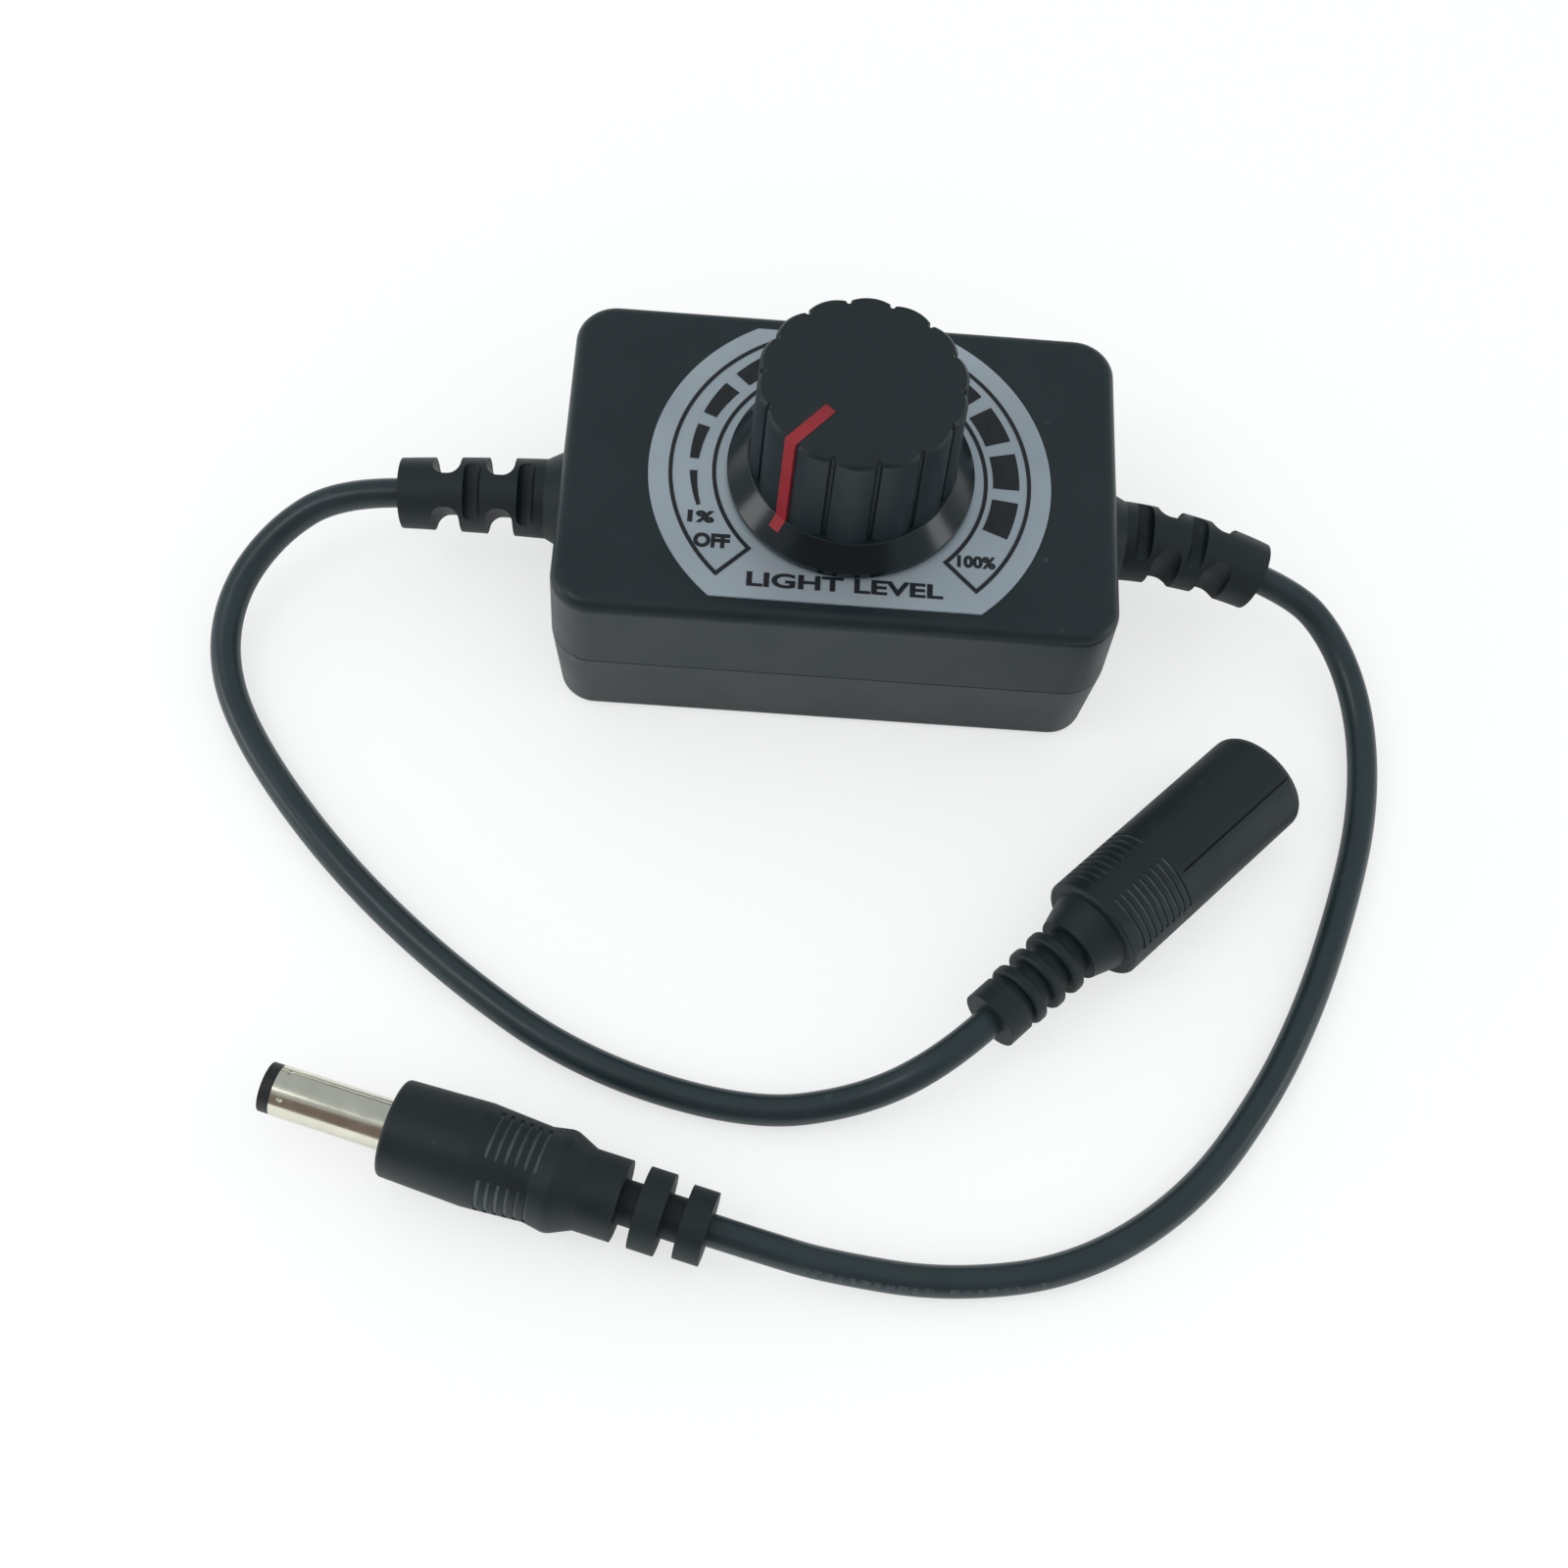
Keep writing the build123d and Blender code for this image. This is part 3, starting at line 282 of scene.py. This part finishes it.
caseLook = {
    "deep": tone(15, 29, 33), "worn": tone(21, 35, 39), "speck": tone(90, 98, 101), "dustAndHighlight": 0.2,
    "rough": (0.36, 0.46), "grain": 2600, "cloud": 160, "bump": 0.12, "ior": 1.48,
}
rubberLook = {
    "deep": tone(15, 28, 31), "worn": tone(20, 33, 36), "speck": tone(90, 98, 101), "dustAndHighlight": 0.15,
    "rough": (0.46, 0.58), "grain": 2200, "cloud": 220, "bump": 0.16, "ior": 1.46,
}
jacketLook = {
    "deep": tone(28, 42, 46), "worn": tone(33, 48, 52), "speck": tone(90, 98, 101), "dustAndHighlight": 0.12,
    "rough": (0.28, 0.36), "grain": 1800, "cloud": 120, "bump": 0.06, "ior": 1.5,
}
innerLook = {
    "deep": tone(20, 22, 23), "worn": tone(30, 32, 33), "speck": tone(60, 62, 63), "dustAndHighlight": 0.1,
    "rough": (0.45, 0.6), "grain": 2600, "cloud": 300, "bump": 0.1, "ior": 1.5,
}
# grip lines: a point on the axis, then where the lines lie along it, and the pale colour painted in
# the grooves as a highlight
plugGrip = {
    "place": (-57.0, -72.0, 5.6), "heading": -14.6, "middle": 28.03, "halfLength": 2.93,
    "radius": 5.31, "slope": -0.067, "dustAndHighlight": tone(86, 98, 102),
}
socketGrip = {
    "place": (19.7, -59.6, 6.35), "heading": 45.6, "middle": 21.8, "halfLength": 4.15,
    "radius": 6.33, "slope": -0.0034, "dustAndHighlight": tone(72, 81, 84),
}
caseBlack = mouldedPlastic("caseBlack", caseLook)
softBlack = mouldedPlastic("softBlack", rubberLook)
plugBlack = mouldedPlastic("plugBlack", rubberLook, plugGrip)
socketBlack = mouldedPlastic("socketBlack", rubberLook, socketGrip)
jacketBlack = mouldedPlastic("jacketBlack", jacketLook)
innerBlack = mouldedPlastic("innerBlack", innerLook)

# knob: matt flutes and top over a polished skirt
knobLook = {
    "deep": tone(12, 26, 30), "worn": tone(18, 32, 36), "skirt": tone(6, 19, 23),
    "rough": (0.42, 0.52), "skirtRough": 0.18, "grain": 2400, "cloud": 260, "bump": 0.14,
    "skirtTop": 27.4, "blend": 0.12, "ior": 1.48,
}


def knobFinish(name, look):
    material, tree, shader = newMaterial(name)
    place, grain = addGrain(tree, look)
    axes = addNode(tree, "ShaderNodeSeparateXYZ")
    tree.links.new(place.outputs["Object"], axes.inputs["Vector"])
    edge = look["skirtTop"] * mm
    above = spread(tree, axes.outputs["Z"], 0.0, 1.0, edge - look["blend"] * mm, edge, smooth=True)
    cloudy = drift(tree, grain.outputs["Cloud"], 0.0, 1.0)
    body = mixColour(tree, cloudy, look["deep"], look["worn"])
    tree.links.new(mixColour(tree, above, look["skirt"], body), shader.inputs["Base Color"])
    dull = drift(tree, grain.outputs["Cloud"], *look["rough"])
    gloss = addNode(tree, "ShaderNodeMix", data_type="FLOAT")
    tree.links.new(above, gloss.inputs[0])
    gloss.inputs[2].default_value = look["skirtRough"]
    tree.links.new(dull, gloss.inputs[3])
    tree.links.new(gloss.outputs[0], shader.inputs["Roughness"])
    relief = mathNode(tree, "MULTIPLY", above, grain.outputs["Height"])
    addBump(tree, relief, shader, look["bump"], skinTexture["relief"])
    shader.inputs["IOR"].default_value = look["ior"]
    return material


knobBlack = knobFinish("knobBlack", knobLook)


# flat finishes with a slow drift of colour and a little relief
def plainFinish(name, look):
    material, tree, shader = newMaterial(name)
    grain = addGrain(tree, look)[1]
    cloudy = drift(tree, grain.outputs["Cloud"], 0.0, 1.0)
    tree.links.new(mixColour(tree, cloudy, look["deep"], look["worn"]), shader.inputs["Base Color"])
    tree.links.new(drift(tree, grain.outputs["Height"], *look["rough"]), shader.inputs["Roughness"])
    addBump(tree, grain.outputs["Height"], shader, look["bump"], skinTexture["filmRelief"])
    shader.inputs["Metallic"].default_value = look["metal"]
    return material


pointerRed = plainFinish("pointerRed", {
    "deep": tone(132, 16, 28), "worn": tone(150, 24, 36), "rough": (0.55, 0.65),
    "grain": 2400, "cloud": 300, "bump": 0.08, "metal": 0.0,
})
labelFilm = plainFinish("labelFilm", {
    "deep": tone(150, 162, 171), "worn": tone(166, 177, 184), "rough": (0.3, 0.42),
    "grain": 5200, "cloud": 60, "bump": 0.05, "metal": 0.35,
})
labelInk = plainFinish("labelInk", {
    "deep": tone(13, 19, 23), "worn": tone(21, 28, 32), "rough": (0.45, 0.6),
    "grain": 4200, "cloud": 900, "bump": 0.04, "metal": 0.0,
})
brightNickel = plainFinish("brightNickel", {
    "deep": tone(218, 214, 196), "worn": tone(230, 228, 212), "rough": (0.14, 0.22),
    "grain": 900, "cloud": 260, "bump": 0.03, "metal": 1.0,
})
platedSteel = plainFinish("platedSteel", {
    "deep": tone(150, 152, 155), "worn": tone(190, 190, 188), "rough": (0.28, 0.42),
    "grain": 1500, "cloud": 500, "bump": 0.06, "metal": 1.0,
})
tinnedMetal = plainFinish("tinnedMetal", {
    "deep": tone(176, 172, 160), "worn": tone(205, 200, 190), "rough": (0.25, 0.4),
    "grain": 1500, "cloud": 500, "bump": 0.06, "metal": 1.0,
})
boardGreen = plainFinish("boardGreen", {
    "deep": tone(16, 70, 38), "worn": tone(24, 92, 52), "rough": (0.3, 0.45),
    "grain": 1200, "cloud": 700, "bump": 0.1, "metal": 0.0,
})
trackBrown = plainFinish("trackBrown", {
    "deep": tone(78, 52, 34), "worn": tone(104, 72, 48), "rough": (0.5, 0.65),
    "grain": 1600, "cloud": 600, "bump": 0.1, "metal": 0.0,
})
canSleeve = plainFinish("canSleeve", {
    "deep": tone(28, 34, 58), "worn": tone(38, 46, 72), "rough": (0.22, 0.32),
    "grain": 1200, "cloud": 300, "bump": 0.05, "metal": 0.0,
})
wornInk = plainFinish("wornInk", {
    "deep": tone(34, 44, 48), "worn": tone(66, 76, 80), "rough": (0.4, 0.55),
    "grain": 2600, "cloud": 2400, "bump": 0.05, "metal": 0.0,
})
wireRed = plainFinish("wireRed", {
    "deep": tone(150, 24, 26), "worn": tone(178, 36, 36), "rough": (0.35, 0.5),
    "grain": 1800, "cloud": 300, "bump": 0.06, "metal": 0.0,
})
print("finishes made")

finishes = {
    "case_plastic": caseBlack,
    "knob_plastic": knobBlack,
    "pointer_red": pointerRed,
    "label_film": labelFilm,
    "label_ink": labelInk,
    "lead_jacket": jacketBlack,
    "soft_moulding": softBlack,
    "hard_black": innerBlack,
    "bright_nickel": brightNickel,
    "plated_steel": platedSteel,
    "tinned_metal": tinnedMetal,
    "board_green": boardGreen,
    "track_brown": trackBrown,
    "capacitor_can": canSleeve,
    "wire_red": wireRed,
    "wire_black": innerBlack,
}
ownFinish = {"plug_body": plugBlack, "socket_body": socketBlack}
for part in frame["record"]["subparts"]:
    node = part["node"]
    piece = nodes[node]
    piece.data.materials.clear()
    piece.data.materials.append(ownFinish.get(node, finishes[part["material_slot"]]))
print("nodes finished")


# leads: limp round cords lying on the table
leads = {
    "inputLead": {
        "node": "input_lead",
        "diameter": 3.5,
        "length": 148.3,
        "pieces": ["input_gland", "socket_body", "socket_insert", "socket_pin", "socket_spring"],
        "far": "connector",
        "route": [
            (-51.184, 0.227, 11.353), (-58.766, 0.089, 10.841), (-66.0, -4.0, 7.9),
            (-70.7, -11.4, 5.0), (-70.8, -20.4, 2.5), (-65.3, -30.7, 1.75), (-54.0, -44.1, 1.75),
            (-40.2, -56.0, 1.75), (-24.5, -66.0, 1.75), (-6.0, -70.6, 1.75), (6.0, -68.6, 2.7),
            (14.802, -64.601, 6.35), (19.7, -59.6, 6.35),
        ],
    },
    "outputLead": {
        "node": "output_lead",
        "diameter": 3.5,
        "length": 143.5,
        "pieces": [
            "output_gland", "plug_body", "plug_barrel",
            "plug_tip_ring", "plug_insulator", "plug_contact",
        ],
        "far": "plug",
        "route": [
            (50.812, -1.596, 9.351), (56.45, -2.831, 7.712), (60.7, -6.4, 5.8), (63.8, -12.6, 3.8),
            (65.0, -20.6, 2.3), (64.1, -30.5, 1.75), (60.9, -41.8, 1.75), (56.7, -53.4, 1.75),
            (51.1, -64.7, 1.75), (42.4, -76.8, 1.75), (30.0, -85.3, 1.75), (16.0, -87.8, 1.75),
            (3.2, -86.8, 3.0), (-3.389, -85.965, 5.6), (-9.389, -84.402, 5.6),
        ],
    },
}
leadSteps = {"along": 16, "round": 8}

# dashes of worn ink near the plug, on the side of the lead that faces forward
leadDashes = {
    "lead": "outputLead",
    "shortest": 0.35,
    "kept": 0.85,
    "tileSteps": 7,
    "Start": 0.75,
    "End": 0.935,
    "Count": 21,
    "Length": 1.15,
    "Width": 0.95,
    "Thickness": 0.04,
    "Lift": 32.0,
    "Seed": 5,
}


def routeCurve(name, lead):
    curve = bpy.data.curves.new(name, "CURVE")
    curve.dimensions = "3D"
    curve.resolution_u = leadSteps["along"]
    spline = curve.splines.new("NURBS")
    spline.points.add(len(lead["route"]) - 1)
    for point, place in zip(spline.points, lead["route"]):
        point.co = (place[0] * mm, place[1] * mm, place[2] * mm, 1.0)
    spline.order_u = 3
    spline.use_endpoint_u = True
    spline.use_smooth = True
    piece = bpy.data.objects.new(name, curve)
    scene.collection.objects.link(piece)
    return piece


def plainMesh(maker):
    # the evaluated shape as a mesh of its own; the object that made it goes
    bpy.context.view_layer.update()
    depsgraph = bpy.context.evaluated_depsgraph_get()
    mesh = bpy.data.meshes.new_from_object(maker.evaluated_get(depsgraph))
    bpy.data.objects.remove(maker)
    return mesh


def dashTree(settings):
    # thin tiles bent to the cord's round, set out along its middle line
    tree = bpy.data.node_groups.new("leadDashes", "GeometryNodeTree")
    link = tree.links.new
    addSockets(tree, "INPUT", "Geometry", "Geometry")
    addSockets(tree, "INPUT", "Float", "Start", "End", "Radius", "Length")
    addSockets(tree, "INPUT", "Float", "Width", "Thickness", "Lift")
    addSockets(tree, "INPUT", "Int", "Count", "Seed")
    addSockets(tree, "INPUT", "Material", "Ink")
    addSockets(tree, "OUTPUT", "Geometry", "Geometry")
    given = addNode(tree, "NodeGroupInput").outputs
    result = addNode(tree, "NodeGroupOutput")

    def vectors(operation, first, second):
        node = addNode(tree, "ShaderNodeVectorMath", operation=operation)
        link(first, node.inputs[0])
        link(second, node.inputs["Scale"] if operation == "SCALE" else node.inputs[1])
        return node.outputs["Vector"]

    line = addNode(tree, "GeometryNodeMeshToCurve")
    link(given["Geometry"], line.inputs["Mesh"])
    part = addNode(tree, "GeometryNodeTrimCurve", mode="FACTOR")
    link(line.outputs["Curve"], part.inputs["Curve"])
    link(given["Start"], part.inputs[2])
    link(given["End"], part.inputs[3])
    places = addNode(tree, "GeometryNodeResampleCurve")
    link(part.outputs["Curve"], places.inputs["Curve"])
    link(given["Count"], places.inputs["Count"])

    size = addNode(tree, "ShaderNodeCombineXYZ")
    for axis, name in (("X", "Length"), ("Y", "Width"), ("Z", "Thickness")):
        link(given[name], size.inputs[axis])
    tile = addNode(tree, "GeometryNodeMeshCube")
    tile.inputs["Vertices Y"].default_value = settings["tileSteps"]
    link(size.outputs["Vector"], tile.inputs["Size"])
    flat = addNode(tree, "ShaderNodeSeparateXYZ")
    link(addNode(tree, "GeometryNodeInputPosition").outputs["Position"], flat.inputs["Vector"])
    angle = mathNode(tree, "DIVIDE", flat.outputs["Y"], given["Radius"])
    reach = mathNode(tree, "ADD", flat.outputs["Z"], given["Radius"])
    bent = addNode(tree, "ShaderNodeCombineXYZ")
    link(flat.outputs["X"], bent.inputs["X"])
    link(mathNode(tree, "MULTIPLY", reach, mathNode(tree, "SINE", angle)), bent.inputs["Y"])
    link(mathNode(tree, "MULTIPLY", reach, mathNode(tree, "COSINE", angle)), bent.inputs["Z"])
    hug = addNode(tree, "GeometryNodeSetPosition")
    link(tile.outputs["Mesh"], hug.inputs["Geometry"])
    link(bent.outputs["Vector"], hug.inputs["Position"])

    along = addNode(tree, "GeometryNodeInputTangent").outputs["Tangent"]
    upright = addNode(tree, "FunctionNodeInputVector", vector=(0, 0, 1)).outputs["Vector"]
    sideways = vectors("CROSS_PRODUCT", upright, along)
    forward = vectors("SCALE", sideways, mathNode(tree, "COSINE", given["Lift"]))
    raised = vectors("SCALE", upright, mathNode(tree, "SINE", given["Lift"]))
    outward = vectors("ADD", forward, raised)
    facing = addNode(tree, "FunctionNodeAxesToRotation", primary_axis="Z", secondary_axis="X")
    link(outward, facing.inputs["Primary Axis"])
    link(along, facing.inputs["Secondary Axis"])
    stretch = addNode(tree, "FunctionNodeRandomValue", data_type="FLOAT_VECTOR")
    stretch.inputs["Min"].default_value = (settings["shortest"], 1, 1)
    stretch.inputs["Max"].default_value = (1, 1, 1)
    link(given["Seed"], stretch.inputs["Seed"])
    kept = addNode(tree, "FunctionNodeRandomValue", data_type="BOOLEAN")
    kept.inputs["Probability"].default_value = settings["kept"]
    link(given["Seed"], kept.inputs["Seed"])
    dashes = addNode(tree, "GeometryNodeInstanceOnPoints")
    link(places.outputs["Curve"], dashes.inputs["Points"])
    link(hug.outputs["Geometry"], dashes.inputs["Instance"])
    link(facing.outputs["Rotation"], dashes.inputs["Rotation"])
    link(stretch.outputs["Value"], dashes.inputs["Scale"])
    link(kept.outputs[3], dashes.inputs["Selection"])
    real = addNode(tree, "GeometryNodeRealizeInstances")
    link(dashes.outputs["Instances"], real.inputs["Geometry"])
    inked = addNode(tree, "GeometryNodeSetMaterial")
    link(real.outputs["Geometry"], inked.inputs["Geometry"])
    link(given["Ink"], inked.inputs["Material"])
    link(inked.outputs["Geometry"], result.inputs["Geometry"])
    return tree


def printDashes(name, settings):
    lead = leads[settings["lead"]]
    maker = bpy.data.objects.new(name + "Maker", plainMesh(routeCurve(name + "Route", lead)))
    scene.collection.objects.link(maker)
    modifier = maker.modifiers.new("dashes", "NODES")
    modifier.node_group = dashTree(settings)
    values = dict(settings, Ink=wornInk, Lift=radians(settings["Lift"]))
    values["Radius"] = lead["diameter"] / 2 * mm
    for size in ("Length", "Width", "Thickness"):
        values[size] = settings[size] * mm
    for socket in modifier.node_group.interface.items_tree:
        if socket.in_out == "INPUT" and socket.name in values:
            modifier[socket.identifier] = values[socket.name]
    piece = bpy.data.objects.new(name, plainMesh(maker))
    scene.collection.objects.link(piece)
    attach(piece, "base")
    return piece


def layLead(name, lead):
    cord = routeCurve(name, lead)
    cord.data.bevel_depth = lead["diameter"] / 2 * mm
    cord.data.bevel_resolution = leadSteps["round"]
    cord.data.use_fill_caps = True
    cord.data.materials.append(jacketBlack)
    carried = [nodes[piece] for piece in lead["pieces"]]
    if name == leadDashes["lead"]:
        carried.append(printDashes("leadDashes", leadDashes))
    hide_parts(lead["node"])
    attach(cord, "base")


for leadName, leadSettings in leads.items():
    layLead(leadName, leadSettings)
print("leads laid")


# dial lettering, printed on the label
lettering = {
    "thickness": 0.08,
    "rise": 0.02,
    "edgeSteps": 1,
    "curveSteps": 6,
    "words": {
        "letterLow": {"text": "1%", "middle": (-15.6, -8.4), "size": (3.0, 1.6), "bold": 0.05},
        "letterOff": {"text": "OFF", "middle": (-14.2, -11.5), "size": (4.1, 1.9), "bold": 0.05},
        "letterHigh": {"text": "100%", "middle": (15.5, -11.9), "size": (4.3, 1.6), "bold": 0.048},
        "letterTitle": {
            "text": "LIGHT LEVEL", "middle": (0.9, -16.15), "size": (21.9, 1.9), "bold": 0.03,
        },
    },
}


def printWord(name, word, floor):
    text = bpy.data.curves.new(name, "FONT")
    text.body = word["text"]
    text.align_x = "CENTER"
    text.extrude = lettering["rise"]
    text.bevel_depth = word["bold"]
    text.bevel_resolution = lettering["edgeSteps"]
    text.resolution_u = lettering["curveSteps"]
    maker = bpy.data.objects.new(name + "Maker", text)
    scene.collection.objects.link(maker)
    mesh = plainMesh(maker)
    corners = [vertex.co for vertex in mesh.vertices]
    low = Vector([min(corner[i] for corner in corners) for i in range(3)])
    high = Vector([max(corner[i] for corner in corners) for i in range(3)])
    made = high - low
    width, height = word["size"]
    scale = Vector((width / made.x, height / made.y, lettering["thickness"] / made.z)) * mm
    middle = (low + high) / 2
    for vertex in mesh.vertices:
        offset = vertex.co - middle
        vertex.co = (
            offset.x * scale.x + word["middle"][0] * mm,
            offset.y * scale.y + word["middle"][1] * mm,
            (vertex.co.z - low.z) * scale.z + floor,
        )
    mesh.materials.clear()
    mesh.materials.append(labelInk)
    piece = bpy.data.objects.new(name, mesh)
    scene.collection.objects.link(piece)
    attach(piece, "base")


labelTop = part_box("dial_label")[1].z
for wordName, wordSettings in lettering["words"].items():
    printWord(wordName, wordSettings, labelTop)
print("lettering printed")


# floor, world and lamps
studio = {
    "floor": tone(254, 254, 254),
    "floorRough": 0.9,
    "floorReach": 4000.0,
    "paper": 0.6,
    "backdrop": (1.0, 1.0, 1.0, 1.0),
    "ambient": (0.93, 0.955, 0.965, 1.0),
    "mirror": (0.45, 0.49, 0.51, 1.0),
    "shade": (0.19, 0.145, 0.135, 1.0),
    "shadeTurn": -3.7,
    "shadeRise": 28.0,
    "shadeInner": 30.0,
    "shadeOuter": 44.0,
    "lamps": {
        "overheadLamp": {"power": 0.3, "place": (-330, -120, 500), "size": (180, 180)},
        "leftLamp": {"power": 0.17, "place": (-450, -60, 125), "size": (130, 150)},
        "rightLamp": {"power": 0.12, "place": (450, -90, 125), "size": (110, 150)},
    },
}


def buildFloor(settings):
    # the camera sees some of the floor's white whatever falls on it, so the shadow stays light
    material, tree, shader = newMaterial("paleFloor")
    shader.inputs["Base Color"].default_value = settings["floor"]
    shader.inputs["Roughness"].default_value = settings["floorRough"]
    shader.inputs["Specular IOR Level"].default_value = 0.0
    light = addNode(tree, "ShaderNodeLightPath")
    share = spread(tree, light.outputs["Is Camera Ray"], 0.0, settings["paper"])
    glow = addNode(tree, "ShaderNodeEmission")
    both = addNode(tree, "ShaderNodeMixShader")
    tree.links.new(share, both.inputs["Fac"])
    tree.links.new(shader.outputs["BSDF"], both.inputs[1])
    tree.links.new(glow.outputs["Emission"], both.inputs[2])
    tree.links.new(both.outputs["Shader"], tree.nodes["Material Output"].inputs["Surface"])
    mesh = bpy.data.meshes.new("floor")
    reach = settings["floorReach"] * mm
    corners = [(-reach, -reach, 0), (reach, -reach, 0), (reach, reach, 0), (-reach, reach, 0)]
    mesh.from_pydata(corners, [], [(0, 1, 2, 3)])
    mesh.materials.append(material)
    floor = bpy.data.objects.new("floor", mesh)
    scene.collection.objects.link(floor)


def buildWorld(settings):
    # white to the camera, plain soft light on the part, and a shaded room in reflections
    world = bpy.data.worlds.new("studio")
    scene.world = world
    world.use_nodes = True
    tree = world.node_tree
    light = addNode(tree, "ShaderNodeLightPath")
    place = addNode(tree, "ShaderNodeTexCoord")
    toward = addNode(tree, "ShaderNodeVectorMath", operation="DOT_PRODUCT")
    tree.links.new(place.outputs["Generated"], toward.inputs[0])
    toward.inputs[1].default_value = lookBack(settings["shadeTurn"], settings["shadeRise"])
    outer, inner = cos(radians(settings["shadeOuter"])), cos(radians(settings["shadeInner"]))
    dark = spread(tree, toward.outputs["Value"], 0.0, 1.0, outer, inner, smooth=True)
    mirror = mixColour(tree, dark, settings["mirror"], settings["shade"])
    glossy = mixColour(tree, light.outputs["Is Glossy Ray"], settings["ambient"], mirror)
    seen = mixColour(tree, light.outputs["Is Camera Ray"], glossy, settings["backdrop"])
    tree.links.new(seen, tree.nodes["Background"].inputs["Color"])


def hangLamp(name, settings):
    data = bpy.data.lights.new(name, "AREA")
    data.energy = settings["power"]
    data.shape = "RECTANGLE"
    data.size = settings["size"][0] * mm
    data.size_y = settings["size"][1] * mm
    lamp = bpy.data.objects.new(name, data)
    scene.collection.objects.link(lamp)
    lamp.location = Vector(settings["place"]) * mm
    aim = Vector(cameraView["target"]) * mm - lamp.location
    lamp.rotation_euler = aim.to_track_quat("-Z", "Y").to_euler()


buildFloor(studio)
buildWorld(studio)
for lampName, lampSettings in studio["lamps"].items():
    hangLamp(lampName, lampSettings)
scene.view_settings.view_transform = "Standard"
print("studio lit")

bpy.context.view_layer.update()
